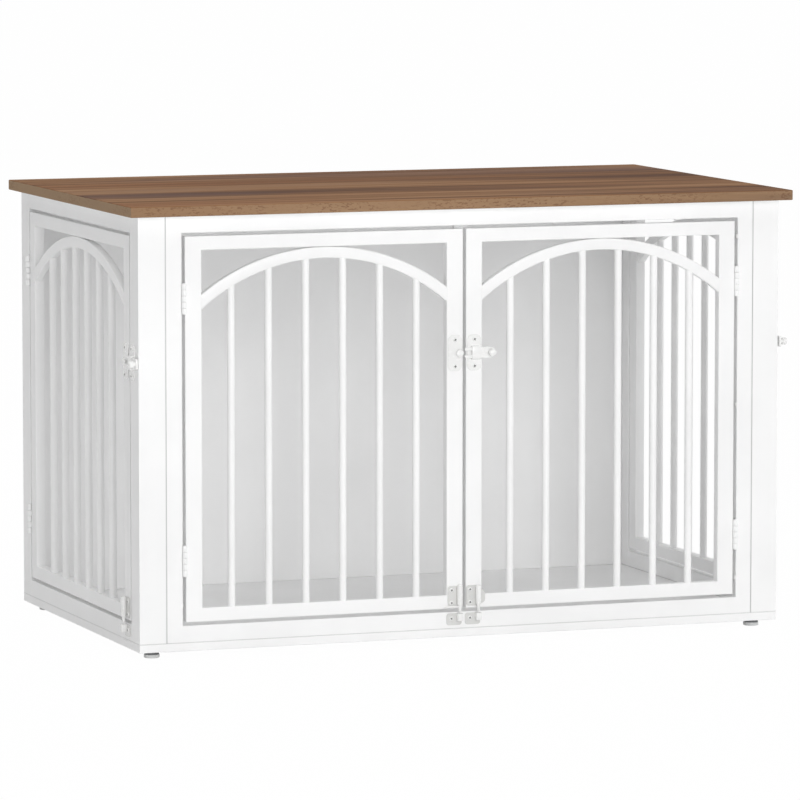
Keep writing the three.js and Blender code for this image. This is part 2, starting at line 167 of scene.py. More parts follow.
# A material with its shader and the place that its patterns read, in object coordinates
class Finish(Graph):
    def __init__(self, name):
        self.material = bpy.data.materials.new(name)
        super().__init__(self.material)
        self.shader = self.tree.nodes["Principled BSDF"]
        self.place = self.node("ShaderNodeTexCoord", output="Object")

    def shade(self, **sockets):
        for key, value in sockets.items():
            self.feed(self.shader.inputs[key.replace("_", " ")], value)

    # the place multiplied by one factor per axis
    def stretched(self, factors, shift=(0.0, 0.0, 0.0)):
        sockets = {"Vector": self.place, "Scale": factors, "Location": shift}
        return self.node("ShaderNodeMapping", {}, sockets)

    # one coordinate of the place
    def along(self, axis):
        return self.node("ShaderNodeSeparateXYZ", {}, {0: self.place}, output=axis)

    def noise(self, vector, scale, detail=2.0, roughness=0.5, distortion=0.0):
        sockets = {
            "Vector": vector,
            "Scale": scale,
            "Detail": detail,
            "Roughness": roughness,
            "Distortion": distortion,
        }
        return self.node("ShaderNodeTexNoise", {}, sockets)

    def mixed(self, factor, first, second):
        sockets = {0: factor, 6: first, 7: second}
        return self.node("ShaderNodeMix", {"data_type": "RGBA"}, sockets, output=2)

    def bump(self, height, strength, distance):
        sockets = {"Height": height, "Strength": strength, "Distance": distance}
        return self.node("ShaderNodeBump", {}, sockets)


# sRGB 0..255 to the linear colour that Blender uses
def colour(red, green, blue):
    share = np.array([red, green, blue]) / 255.0
    linear = np.where(share <= 0.04045, share / 12.92, ((share + 0.055) / 1.055) ** 2.4)
    return (*linear.tolist(), 1.0)


# A linear grey
def grey(value):
    return (value, value, value, 1.0)


wood = {
    "tones": [  # place on the ramp and colour, from the darkest grain to the palest
        (0.22, (80, 54, 39)),
        (0.37, (103, 73, 51)),
        (0.50, (124, 88, 61)),
        (0.64, (141, 105, 74)),
        (0.82, (154, 120, 89)),
    ],
    "violet": (104, 82, 76),
    "ember": (138, 92, 60),
    "line": (66, 46, 37),
    "pale": (174, 149, 122),
    "fleck": (112, 78, 60),
    "bandScale": (0.9, 13.0, 13.0),  # repeats in a metre: bands run along the table
    "streakScale": (1.7, 46.0, 46.0),
    "fibreScale": (3.2, 170.0, 170.0),
    "poreScale": (40.0, 900.0, 900.0),
    "bandWeight": 1.25,  # what each layer of the grain adds to the tone
    "streakWeight": 1.0,
    "fibreWeight": 0.35,
    "ringWeight": 0.05,
    "ringRate": 620.0,  # radians of the growth lines in a metre
    "violetShare": 0.45,  # how much of each colour is mixed in at the most
    "emberShare": 0.40,
    "lineShare": 0.42,
    "poreShare": 0.35,
    "knotShare": 0.5,
    "knots": [(-430, -130, 15), (292, 62, 11), (-40, 190, 12)],  # x, y and radius
    "knotLength": 0.22,  # x counts for this much of y, so that knots are drawn out
    "knotPull": 16.0,
    "roughness": 0.70,
    "gloss": 0.04,
    "relief": 0.12,
    "lift": 0.0,  # share of the pale colour
    "mottle": 0.0,
    "turn": 0.0,
}
# The edge bands are paler and mottled, and their grain runs along them.
frontBand = wood | {"lift": 0.40, "mottle": 0.6}
# The side band is paler than the front band: that extra paleness is painted light on the less lit side
# faces.
sideBandPaintedLight = wood | {"lift": 0.82, "mottle": 0.25, "turn": math.radians(90.0)}


# Printed walnut. The tone adds bands, streaks and fibres, each a noise drawn out along x, and
# growth lines that are sines of y + z, pushed aside by slow noise and drawn round the knots. Thin
# dark lines lie where the noise of the bands crosses its middle.
def makeWoodFinish(name, look):
    finish = Finish(name)
    turned = {"Vector": finish.place, "Rotation": (0.0, 0.0, look["turn"])}
    finish.place = finish.node("ShaderNodeMapping", {}, turned)
    drift = finish.noise(finish.stretched((1.1, 4.0, 4.0)), 1.0, 2.0)
    bands = finish.noise(finish.stretched(look["bandScale"], (3.1, 0.4, 0.0)), 1.0, 3.0, 0.5, 0.4)
    streakPlace = finish.stretched(look["streakScale"], (1.0, 5.2, 0.0))
    streaks = finish.noise(streakPlace, 1.0, 3.0, 0.55, 0.2)
    fibres = finish.noise(finish.stretched(look["fibreScale"]), 1.0, 3.0, 0.6)
    pores = finish.noise(finish.stretched(look["poreScale"]), 1.0, 1.0, 0.5)

    x, y, z = (finish.along(axis) for axis in "XYZ")
    pull = 0.0
    knotShade = 0.0
    for knotX, knotY, radius in look["knots"]:
        far = (((x - knotX * mm) * look["knotLength"]) ** 2.0 + (y - knotY * mm) ** 2.0) ** 0.5
        near = 1.0 - far.between(0.0, radius * mm)
        around = 1.0 - far.between(radius * mm * 0.4, radius * mm * 3.2)
        pull = around * (look["knotPull"] * mm) + pull
        knotShade = near + knotShade
    rings = ((y + z + drift * 0.11 + pull) * look["ringRate"]).sine() * 0.5 + 0.5
    tone = (bands - 0.5) * look["bandWeight"] + (streaks - 0.5) * look["streakWeight"]
    tone = tone + (fibres - 0.5) * look["fibreWeight"] + (rings - 0.5) * look["ringWeight"]
    stops = [(position, colour(*tint)) for position, tint in look["tones"]]
    grain = finish.node("ShaderNodeValToRGB", {"stops": stops}, {"Fac": tone + 0.5})

    slow = finish.noise(finish.stretched((1.0, 8.0, 8.0), (7.0, 2.0, 1.0)), 1.0, 2.0)
    cool = slow.between(0.52, 0.70) * look["violetShare"]
    cooled = finish.mixed(cool, grain, colour(*look["violet"]))
    warm = (1.0 - slow).between(0.54, 0.72) * look["emberShare"]
    warmed = finish.mixed(warm, cooled, colour(*look["ember"]))
    crossing = 1.0 - (bands - 0.5).absolute().between(0.0, 0.012)
    line = colour(*look["line"])
    lined = finish.mixed(crossing * streaks.between(0.45, 0.62) * look["lineShare"], warmed, line)
    poreMask = pores.between(0.60, 0.72) * fibres.between(0.35, 0.6)
    grained = finish.mixed(poreMask * look["poreShare"], lined, line)
    knotted = finish.mixed(knotShade * look["knotShare"], grained, line)

    flecks = finish.noise(finish.stretched((150.0, 420.0, 420.0)), 1.0, 3.0, 0.7, 0.3)
    patches = finish.noise(finish.stretched((5.0, 5.0, 5.0), (2.0, 0.0, 0.0)), 1.0, 2.0)
    mottle = flecks.between(0.53, 0.60) * patches.between(0.40, 0.56) * look["mottle"]
    lifted = finish.mixed(look["lift"], knotted, colour(*look["pale"]))
    relief = fibres * 0.5 + rings * 0.2 - poreMask * 0.6
    finish.shade(
        Base_Color=finish.mixed(mottle, lifted, colour(*look["fleck"])),
        Roughness=look["roughness"] + (fibres - 0.5) * 0.12 + poreMask * 0.1,
        Normal=finish.bump(relief, 0.35, look["relief"] * mm),
    )
    finish.shader.inputs["Specular IOR Level"].default_value = look["gloss"]
    return finish.material


# Each coating: its two shades, its roughness, the size and the height of one swelling of its
# skin, and the weight of the clear coat over it
coats = {
    "board": ((252, 252, 252), (247, 247, 247), 0.42, 1.6, 0.05, 0.0),
    "steel": ((251, 251, 251), (246, 246, 246), 0.33, 0.7, 0.05, 0.0),
    "enamel": ((247, 247, 246), (240, 240, 239), 0.26, 1.1, 0.03, 0.35),
    "plate": ((224, 224, 222), (212, 212, 210), 0.30, 1.1, 0.03, 0.25),
    # the recess coat is dark grey: painted shade in the cross recesses of the screws
    "recess": ((128, 128, 126), (104, 104, 102), 0.45, 0.6, 0.02, 0.0),
    "plastic": ((245, 245, 244), (233, 233, 231), 0.38, 0.9, 0.02, 0.0),
}

# Thin shadow lines where two boards meet flush: a line lies at this distance from 0 on its axis
seam = {
    "lines": [("X", table["halfWidth"] - table["leg"]), ("Z", table["floorTop"])],
    "core": 0.3,
    "edge": 1.4,
    "depth": 0.5,
    "shadow": (140, 140, 140),
}


# White coatings: two close shades by slow noise, and a skin of fine noise as the bump. A line
# darkens what lies nearer to it than `edge`, fully from `core` on.
def makeCoat(name, look, lines=()):
    first, second, roughness, skin, depth, clear = look
    finish = Finish(name)
    cloud = finish.noise(finish.place, 9.0, 3.0)
    speck = finish.noise(finish.place, 1.0 / (skin * mm), 2.0, 0.6)
    slow = finish.noise(finish.place, 0.2 / (skin * mm), 2.0)
    shade = finish.mixed(cloud.between(0.3, 0.7), colour(*first), colour(*second))
    for axis, place in lines:
        away = (finish.along(axis).absolute() - place * mm).absolute()
        near = 1.0 - away.between(seam["core"] * mm, seam["edge"] * mm)
        shade = finish.mixed(near * seam["depth"], shade, colour(*seam["shadow"]))
    finish.shade(
        Base_Color=shade,
        Roughness=roughness + (slow - 0.5) * 0.14 + (speck - 0.5) * 0.06,
        Normal=finish.bump(speck * 0.6 + slow * 0.4, 0.4, depth * mm),
    )
    finish.shader.inputs["Coat Weight"].default_value = clear
    finish.shader.inputs["Coat Roughness"].default_value = 0.12
    return finish.material


footPlastic = {
    "disc": (236, 237, 236),
    "discShade": (224, 225, 225),
    # the neck colour is painted shade: the neck stands in the shade under the base board
    "neck": (108, 110, 112),
    "neckShadeFrom": 5.0,
    "neckShadeTo": 5.5,
    "roughness": 0.48,
    "grain": 0.08,
}


# Moulded plastic of the feet: fine grain and a pale disc, with a dark grey neck over it as painted
# shade under the base
def makeFootPlastic(name, look):
    finish = Finish(name)
    grain = finish.noise(finish.place, 1400.0, 2.0, 0.6)
    cloud = finish.noise(finish.place, 60.0, 2.0)
    neck = finish.along("Z").between(look["neckShadeFrom"] * mm, look["neckShadeTo"] * mm)
    disc = finish.mixed(cloud.between(0.3, 0.7), colour(*look["disc"]), colour(*look["discShade"]))
    finish.shade(
        Base_Color=finish.mixed(neck, disc, colour(*look["neck"])),
        Roughness=look["roughness"] + (grain - 0.5) * 0.16,
        Normal=finish.bump(grain, 0.35, look["grain"] * mm),
    )
    return finish.material


woodFinish = makeWoodFinish("walnut_top", wood)
frontBandFinish = makeWoodFinish("walnut_front_band", frontBand)
sideBandPaintedLightFinish = makeWoodFinish("walnut_side_band_painted_light", sideBandPaintedLight)
boardFinish = makeCoat("satin_white_board", coats["board"])
jointFinish = makeCoat("satin_white_joined_board", coats["board"], seam["lines"])
steelFinish = makeCoat("powder_coated_steel", coats["steel"])
enamelFinish = makeCoat("enamelled_latch_steel", coats["enamel"])
plateFinish = makeCoat("enamelled_bolt_plate", coats["plate"])
recessShadeFinish = makeCoat("screw_recess_painted_shade", coats["recess"])
capFinish = makeCoat("white_cap_plastic", coats["plastic"])
footFinish = makeFootPlastic("foot_plastic_with_painted_shade", footPlastic)
print("finishes made")


# A shell is a set of points, its quads and its caps. This makes one shell of several.
def joined(*shells):
    points = np.concatenate([shell[0] for shell in shells])
    starts = np.cumsum([0] + [len(shell[0]) for shell in shells[:-1]])
    quads = np.concatenate([shell[1] + start for shell, start in zip(shells, starts)])
    caps = [cap + start for shell, start in zip(shells, starts) for cap in shell[2]]
    return points, quads, caps


# Rings of equal length, one after the other: quads between neighbours, and a cap on each end
# unless the last ring goes on into the first. The points of a ring run anticlockwise as seen
# from the last ring.
def skinned(rings, closed=False):
    count, size = rings.shape[:2]
    row = np.arange(count if closed else count - 1)[:, None] * size
    after = (row + size) % (count * size)
    column = np.arange(size)[None, :]
    beside = (column + 1) % size
    corners = [row + column, row + beside, after + beside, after + column]
    quads = np.stack(corners, axis=-1).reshape(-1, 4)
    caps = [] if closed else [np.arange(size)[::-1], (count - 1) * size + np.arange(size)]
    return rings.reshape(-1, 3), quads, caps


# The mitre direction of each corner of an anticlockwise outline, for moving its edges outwards
def mitres(outline):
    edge = np.roll(outline, -1, axis=0) - outline
    normal = np.stack([edge[:, 1], -edge[:, 0]], axis=1) / np.linalg.norm(edge, axis=1)[:, None]
    before = np.roll(normal, 1, axis=0)
    return (before + normal) / (1.0 + np.sum(before * normal, axis=1))[:, None]


# An outline carried from `low` to `high` with both rims rounded: each ring is the outline drawn in
# by rim * (1 - sin t) at the height rim * (1 - cos t) from the end, with one ring more on the flat.
def slab(outline, low, high, rim, steps=3):
    turn = np.linspace(0.0, math.pi / 2, steps + 1)
    inset = np.concatenate([[rim * 1.35], rim * (1.0 - np.sin(turn))])
    rise = np.concatenate([[0.0], rim * (1.0 - np.cos(turn))])
    inset = np.concatenate([inset, inset[::-1]])
    height = np.concatenate([low + rise, (high - rise)[::-1]])
    flat = outline[None] - mitres(outline)[None] * inset[:, None, None]
    level = np.broadcast_to(height[:, None, None], (*flat.shape[:2], 1))
    return skinned(np.concatenate([flat, level], axis=2))


# A profile of (radius, height) turned about the z axis: each ring holds the points
# (radius * cos a, radius * sin a, height) while a goes once round
def lathe(profile, sides=40, closed=False):
    angle = np.arange(sides) * 2 * math.pi / sides
    profile = np.asarray(profile, float)
    circle = np.stack([np.cos(angle), np.sin(angle)], axis=1)
    flat = profile[:, None, :1] * circle[None]
    level = np.broadcast_to(profile[:, None, 1:], (*flat.shape[:2], 1))
    return skinned(np.concatenate([flat, level], axis=2), closed)


# A tube with open ends: the outer and the inner wall are one closed profile turned about z
def tube(outer, inner, low, high, rim):
    profile = [
        (inner, low + rim),
        (inner + rim, low),
        (outer - rim, low),
        (outer, low + rim),
        (outer, high - rim),
        (outer - rim, high),
        (inner + rim, high),
        (inner, high - rim),
    ]
    return lathe(profile, closed=True)


# A round rod whose rims are rounded in two steps, with the middle of each `ease` inside the corner
def rod(radius, low, high, rim, ease):
    profile = [
        (radius - rim, low),
        (radius - ease, low + ease),
        (radius, low + rim),
        (radius, high - rim),
        (radius - ease, high - ease),
        (radius - rim, high),
    ]
    return lathe(profile, 32)


# Points of an arc about (x, y) from one angle to the other, in degrees
def arc(x, y, radius, start, end, steps=8):
    angle = np.radians(np.linspace(start, end, steps + 1))
    return np.stack([x + radius * np.cos(angle), y + radius * np.sin(angle)], axis=1)


# A rectangle with a quarter of a circle at each corner, anticlockwise
def roundedRectangle(left, right, low, high, radius, steps=6):
    return np.concatenate(
        [
            arc(right - radius, low + radius, radius, -90, 0, steps),
            arc(right - radius, high - radius, radius, 0, 90, steps),
            arc(left + radius, high - radius, radius, 90, 180, steps),
            arc(left + radius, low + radius, radius, 180, 270, steps),
        ]
    )


# The four corners, anticlockwise
def rectangle(left, right, low, high):
    return np.array([[left, low], [right, low], [right, high], [left, high]], float)


# A shell with its axes sent to three directions and its origin moved. Faces turn over where
# the directions are mirrored, so they go on pointing outwards.
def mapped(shell, axes, origin=(0.0, 0.0, 0.0)):
    points, quads, caps = shell
    axes = np.asarray(axes, float)
    if np.linalg.det(axes) < 0:
        quads = quads[:, ::-1]
        caps = [cap[::-1] for cap in caps]
    return points @ axes + np.asarray(origin, float), quads, caps


# A shell moved along the three axes
def shifted(shell, u=0.0, v=0.0, w=0.0):
    return shell[0] + np.array([u, v, w]), shell[1], shell[2]


# Directions inside a face's own coordinates: u along the face, v into the object, w up
proud = [(1, 0, 0), (0, 0, 1), (0, -1, 0)]  # an outline in u and w, thickness out of the face
across = [(0, 1, 0), (0, 0, 1), (1, 0, 0)]  # an outline in v and w, carried along u
acrossBack = [(0, 1, 0), (0, 0, -1), (-1, 0, 0)]  # the same, carried the other way
downwards = [(1, 0, 0), (0, -1, 0), (0, 0, -1)]  # turned over to hang

# Each face of the table: the directions of u, v and w, and where they start.
# Mirrored faces start at the same place and run the other way.
frontFace = ([(1, 0, 0), (0, 1, 0), (0, 0, 1)], (0.0, table["front"], 0.0))
frontMirrored = ([(-1, 0, 0), (0, 1, 0), (0, 0, 1)], (0.0, table["front"], 0.0))
leftFace = ([(0, -1, 0), (1, 0, 0), (0, 0, 1)], (-table["halfWidth"], table["front"], 0.0))
rightFace = ([(0, -1, 0), (-1, 0, 0), (0, 0, 1)], (table["halfWidth"], table["front"], 0.0))
sides = {"left": leftFace, "right": rightFace}

crease = math.radians(38.0)  # edges that turn further than this stay sharp

screw = {
    "radius": 3.4,
    "dome": [(1.0, 0.0), (1.0, 0.25), (0.93, 0.6), (0.78, 0.86), (0.62, 1.0)],  # shares
    "rise": 1.5,
    "crossArm": 0.6,
    "crossReach": 2.0,
    "crossDepth": 1.0,
    "crossTaper": 0.72,
    "firstTurn": 0.5,
    "nextTurn": 1.3,
    "points": 24,  # of every ring: two for each corner of the cross
}


# Puts a shell, in millimetres on a face, into the model as a piece that rides on a body. In a shell
# of screws, the last row of quads and the second cap of each are the recess, dark grey as painted
# shade.
def addPiece(name, shell, face, finish, body, replaced=(), recessed=False):
    points, quads, caps = mapped(shell, *face)
    mesh = bpy.data.meshes.new(name)
    mesh.from_pydata((points * mm).tolist(), [], quads.tolist() + [cap.tolist() for cap in caps])
    mesh.materials.append(finish)
    if recessed:
        # the recess gets the dark grey finish, which is painted shade
        mesh.materials.append(recessShadeFinish)
        rows = len(screw["dome"]) + 1
        wall = np.arange(len(quads)) // screw["points"] % rows == rows - 1
        bottom = np.arange(len(caps)) % 2 == 1
        mesh.polygons.foreach_set("material_index", np.concatenate([wall, bottom]).astype(np.int32))
    mesh.shade_smooth()
    mesh.set_sharp_from_angle(angle=crease)
    mesh.update()
    piece = bpy.data.objects.new(name, mesh)
    bpy.context.scene.collection.objects.link(piece)
    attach(piece, body)
    if replaced:
        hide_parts(*replaced)


# A pan-head screw with a cross recess, standing on z = 0: circles draw in to a plus-shaped outline
# of as many points, which then sinks and narrows. A quarter of the plus is turned four times.
def screwHead(radius, rise):
    share = radius / screw["radius"]
    arm, reach = screw["crossArm"] * share, screw["crossReach"] * share
    quarter = np.array([(reach, -arm), (reach, arm), (arm, arm)])
    turned = np.array([(0, 1), (-1, 0)])
    corners = np.concatenate([quarter @ np.linalg.matrix_power(turned, k) for k in range(4)])
    middles = (corners + np.roll(corners, -1, axis=0)) / 2
    plus = np.stack([corners, middles], axis=1).reshape(-1, 2)
    angle = np.arctan2(plus[:, 1], plus[:, 0])
    circle = np.stack([np.cos(angle), np.sin(angle)], axis=1) * radius
    sunk = rise - screw["crossDepth"] * share
    rings = [(circle * out, rise * up) for out, up in screw["dome"]]
    rings += [(plus, rise), (plus * screw["crossTaper"], sunk)]
    return skinned(np.array([np.insert(ring, 2, level, axis=1) for ring, level in rings]))


# Screws on a face at (u, w) places, `stand` in front of it, each turned a little further
def screwsAt(places, stand, radius, rise):
    shells = []
    for number, (u, w) in enumerate(places):
        turn = screw["firstTurn"] + screw["nextTurn"] * number
        cosine, sine = math.cos(turn), math.sin(turn)
        head = mapped(screwHead(radius, rise), [(cosine, sine, 0), (-sine, cosine, 0), (0, 0, 1)])
        shells.append(mapped(head, proud, (u, -stand, w)))
    return joined(*shells)


# The screws of the latches and bolts
def addScrews(name, shell, face, body):
    addPiece(name, shell, face, enamelFinish, body, recessed=True)


grille = {
    "bars": 6,
    "bar": 11.0,
    "setback": 5.75,  # from the face to the axes of the bars
    "frontMargin": 46.0,  # from the side of the window to the axis of the first bar
    "sideMargin": 76.0,
    "archRise": 64.0,
    "archBand": 16.5,
    "archDepth": 12.0,
    "archRim": 1.6,
    "archSteps": 64,
    "weldGap": 0.3,
    "seat": 0.4,  # how far the ends run into the door's rail and stiles
}


# Welded grille. A bar is a circle carried up from the rail to the middle of the arch. The arch is
# a rounded rectangle carried along circles about one centre, each cut at the window's sides:
# a point at radius r lies at r * sin(t * asin(half / r)) for t from -1 to 1.
def weldedGrille(left, right, margin, size):
    window = (right - left) / 2 - table["stile"]
    half = window + size["seat"]
    low = table["doorLow"] + table["doorRail"] - size["seat"]
    crown = table["doorHigh"] - table["doorRail"] - size["weldGap"]
    rise = size["archRise"]
    outer = ((window - size["weldGap"]) ** 2 + rise**2) / (2 * rise)
    centre = crown - outer
    inner = outer - size["archBand"]
    profile = roundedRectangle(inner, outer, -size["archDepth"], 0.0, size["archRim"], 3)
    share = np.linspace(-1.0, 1.0, size["archSteps"] + 1)[:, None]
    radius, depth = profile[None, :, 0], -profile[None, :, 1]
    angle = share * np.arcsin(half / radius)
    depth = np.broadcast_to(depth, angle.shape)
    rings = np.stack([radius * np.sin(angle), depth, centre + radius * np.cos(angle)], axis=2)
    shells = [skinned(rings)]
    pitch = 2 * (window - margin) / (size["bars"] - 1)
    middle = (inner + outer) / 2
    for place in (np.arange(size["bars"]) - (size["bars"] - 1) / 2) * pitch:
        top = centre + math.sqrt(middle**2 - place**2)
        bar = lathe([(size["bar"] / 2, low), (size["bar"] / 2, top)], 32)
        shells.append(shifted(bar, place, size["setback"]))
    return shifted(joined(*shells), (left + right) / 2)


hinge = {
    "height": 44.0,
    "endInset": 67.5,  # from the door's end
    "knuckles": 5,
    "radius": 3.5,
    "barrelRim": 0.35,
    "barrelEase": 0.1,
    "axis": -3.0,  # the pin stands in front of the face
    "pinHead": 2.3,
    "pinRise": 0.9,
    "pinSeat": 0.4,
    "leaf": 1.2,
    "leafRim": 0.25,
    "leafFrom": 0.8,
    "leafTo": 13.0,
    "tongueLap": 0.6,
    "slack": 0.45,
    "screwRadius": 2.9,
    "screwRise": 0.55,
    "screwAt": [7.0, 22.0, 37.0],
    "screwDepth": 7.6,
}


# One leaf of a butt hinge about the pin at u = 0: a thin plate on its side of the gap, and
# knuckles rolled round the pin with a tongue each
def hingeLeaf(side, knuckles, size):
    face = side * table["gap"] / 2
    left, right = sorted((face, face - side * size["leaf"]))
    rim = size["leafRim"]
    plate = rectangle(left, right, size["leafFrom"], size["leafTo"])
    tongue = rectangle(left, right, size["axis"], size["leafFrom"] + size["tongueLap"])
    shells = [slab(plate, 0.0, size["height"], rim, 2)]
    pitch = size["height"] / size["knuckles"]
    for number in knuckles:
        low = number * pitch + size["slack"] / 2
        high = low + pitch - size["slack"]
        barrel = rod(size["radius"], low, high, size["barrelRim"], size["barrelEase"])
        shells += [slab(tongue, low, high, rim, 2), shifted(barrel, 0.0, size["axis"])]
    return joined(*shells)


# The screws of a leaf stand on its inner side, so their axes run along u.
def hingeScrews(side, size):
    inner = side * (table["gap"] / 2 - size["leaf"])
    head = screwHead(size["screwRadius"], size["screwRise"])
    turned = mapped(head, across if side < 0 else acrossBack)
    return joined(*(shifted(turned, inner, size["screwDepth"], w) for w in size["screwAt"]))


# The pin shows as a domed head at each end of the hinge.
def pinHeads(size):
    radius, rise = size["pinHead"], size["pinRise"]
    dome = [(radius, -size["pinSeat"]), (radius, 0.25 * rise), (radius * 0.8, 0.75 * rise)]
    head = lathe(dome + [(radius * 0.4, rise)], 24)
    top = shifted(head, 0.0, size["axis"], size["height"])
    return joined(top, mapped(head, downwards, (0.0, size["axis"], 0.0)))


latch = {  # places along a face are from the middle of the gap
    "height": 430.0,  # from the ground to its middle
    "plate": 1.5,
    "plateWidth": 22.0,
    "plateHeight": 53.0,
    "plateRound": 8.0,
    "plateRim": 0.7,
    "plateInset": 1.5,
    "studAt": -9.0,
    "studStem": 3.0,
    "studHead": 5.75,
    "studFrom": 5.1,
    "studTo": 7.9,
    "bridgeFrom": 10.0,
    "bridgeTo": 24.0,
    "bridgeHalf": 10.1,
    "bridgeTop": 6.9,
    "bridgeWall": 1.8,
    "bridgeBend": 2.4,
    "bridgeInnerBend": 1.0,
    "footing": 0.6,  # the bridge ends this far in front of the face, inside the plate
    "rim": 0.4,
    "tip": -1.0,
    "end": 45.0,
    "barHalf": 8.0,
    "barBend": 3.0,
    "barFrom": 1.8,
    "barTo": 4.8,
    "forkLip": 0.8,
    "slotEnd": 7.7,
    "slotHalf": 3.3,
    "knobAt": 40.0,
    "knobStem": 3.0,
    "knobRadius": 5.5,
    "knobBase": 8.0,
    "knobTop": 15.5,
    "screwFromGap": 15.2,
    "screwRise": 19.6,
}


# A plate on one side of the gap, with wide round corners
def latchPlate(side, size):
    near = side * (table["gap"] / 2 + size["plateInset"])
    left, right = sorted((near, near + side * size["plateWidth"]))
    half = size["plateHeight"] / 2
    outline = roundedRectangle(left, right, -half, half, size["plateRound"], 8)
    return mapped(slab(outline, 0.0, size["plate"], size["plateRim"]), proud)


# The stud: a stem with a mushroom head over the plate, and a fillet at its foot
def latchStud(size):
    stem, head, low, high = size["studStem"], size["studHead"], size["studFrom"], size["studTo"]
    profile = [
        (stem + 0.1, size["plate"] - 0.3),
        (stem, size["plate"] + 0.2),
        (stem, low - 0.05),
        (stem + 0.1, low),
        (head - 0.4, low),
        (head - 0.1, low + 0.12),
        (head, low + 0.5),
        (head, low + 1.1),
        (head - 0.35, high - 0.9),
        (head - 1.2, high - 0.35),
        (head - 2.6, high - 0.06),
        (head - 4.2, high),
    ]
    return shifted(mapped(lathe(profile, 48), proud), size["studAt"])


# The bridge is a strap bent over the bar: an outer and an inner path with rounded bends, joined
# at the plate, carried along the bar's direction.
def latchBridge(size):
    half, top, foot = size["bridgeHalf"], -size["bridgeTop"], -size["footing"]
    innerHalf, innerTop = half - size["bridgeWall"], top + size["bridgeWall"]
    bend, innerBend = size["bridgeBend"], size["bridgeInnerBend"]
    outline = np.concatenate(
        [
            [[foot, half]],
            arc(top + bend, half - bend, bend, 90, 180, 6),
            arc(top + bend, bend - half, bend, 180, 270, 6),
            [[foot, -half], [foot, -innerHalf]],
            arc(innerTop + innerBend, innerBend - innerHalf, innerBend, 270, 180, 5),
            arc(innerTop + innerBend, innerHalf - innerBend, innerBend, 180, 90, 5),
            [[foot, innerHalf]],
        ]
    )
    return mapped(slab(outline, size["bridgeFrom"], size["bridgeTo"], size["rim"]), across)


# The bar is an outline with a round-ended fork at its tip; the knob is turned and domed.
def latchBar(size):
    half, slot, bend, lip = size["barHalf"], size["slotHalf"], size["barBend"], size["forkLip"]
    tip, end = size["tip"], size["end"]
    outline = np.concatenate(
        [
            arc(end - bend, bend - half, bend, -90, 0, 6),
            arc(end - bend, half - bend, bend, 0, 90, 6),
            arc(tip + bend, half - bend, bend, 90, 180, 6),
            arc(tip + lip, slot + lip, lip, 180, 270, 4),
            arc(size["slotEnd"], 0.0, slot, 90, -90, 14),
            arc(tip + lip, -slot - lip, lip, 90, 180, 4),
            arc(tip + bend, bend - half, bend, 180, 270, 6),
        ]
    )
    blank = mapped(slab(outline, size["barFrom"], size["barTo"], size["rim"]), proud)
    stem, radius, base, top = size["knobStem"], size["knobRadius"], size["knobBase"], size["knobTop"]
    profile = [
        (stem + 0.1, size["barTo"] - 0.4),
        (stem, size["barTo"] + 0.3),
        (stem, base - 0.5),
        (stem + 0.4, base),
        (radius - 0.8, base),
        (radius - 0.2, base + 0.2),
        (radius, base + 0.8),
        (radius, top - 3.0),
        (radius - 0.25, top - 2.0),
        (radius - 1.1, top - 1.0),
        (radius - 2.4, top - 0.35),
        (radius - 4.0, top - 0.03),
        (radius - 5.2, top),
    ]
    return joined(blank, shifted(mapped(lathe(profile, 48), proud), size["knobAt"]))


bolt = {
    "axis": 4.75,  # from the face to the rod's axis
    "leverInset": 6.0,  # from the door's free edge to the rod's axis
    "tabInset": 18.0,
    "rod": 2.5,
    "rodRim": 1.0,
    "rodEase": 0.35,
    "leverRod": 41.0,
    "tabRod": 34.0,
    "tip": 48.5,  # height of the raised rod's lower end
    "bore": 2.8,
    "barrel": 4.2,
    "barrelRim": 0.3,
    "barrelLow": 58.5,
    "slotTop": 80.8,
    "slotHalf": 1.2,
    "slotRim": 0.2,
    "slotLap": 0.4,  # how far the open ring runs up into the closed one
    "plate": 1.5,
    "plateRim": 0.4,
    "plateReach": 17.5,
    "plateLap": 2.0,
    "plateLow": 56.0,
    "plateHigh": 86.5,
    "plateRound": 4.0,
    "lever": 1.5,
    "leverReach": 24.0,
    "leverHeight": 56.2,
    "tabLow": 60.0,
    "tabHigh": 80.5,
    "tabReach": 10.5,
    "tabHalf": 0.9,
    "tabRound": 6.0,
    "tabRim": 0.35,
    "keeperLow": 28.5,
    "keeperHigh": 46.0,
    "keeperReach": 19.5,
    "loopLow": 35.0,
    "loopInner": 3.25,
    "loopWall": 1.0,
    "loopBend": 2.0,
    "loopInnerBend": 1.0,
    "loopRim": 0.25,
    "footing": 0.6,  # the loop ends this far in front of the face, inside the plate
    "screwRadius": 3.2,
    "screwRise": 1.4,
    "plateScrews": [(12.0, 80.4), (12.0, 61.6)],
    "keeperScrews": [(12.2, 38.4)],
}


# A plate of a bolt or its keeper, from beside the rod to its far edge
def boltPlate(size, left, right, low, high):
    outline = roundedRectangle(left, right, low, high, size["plateRound"])
    return mapped(slab(outline, 0.0, size["plate"], size["plateRim"]), proud)


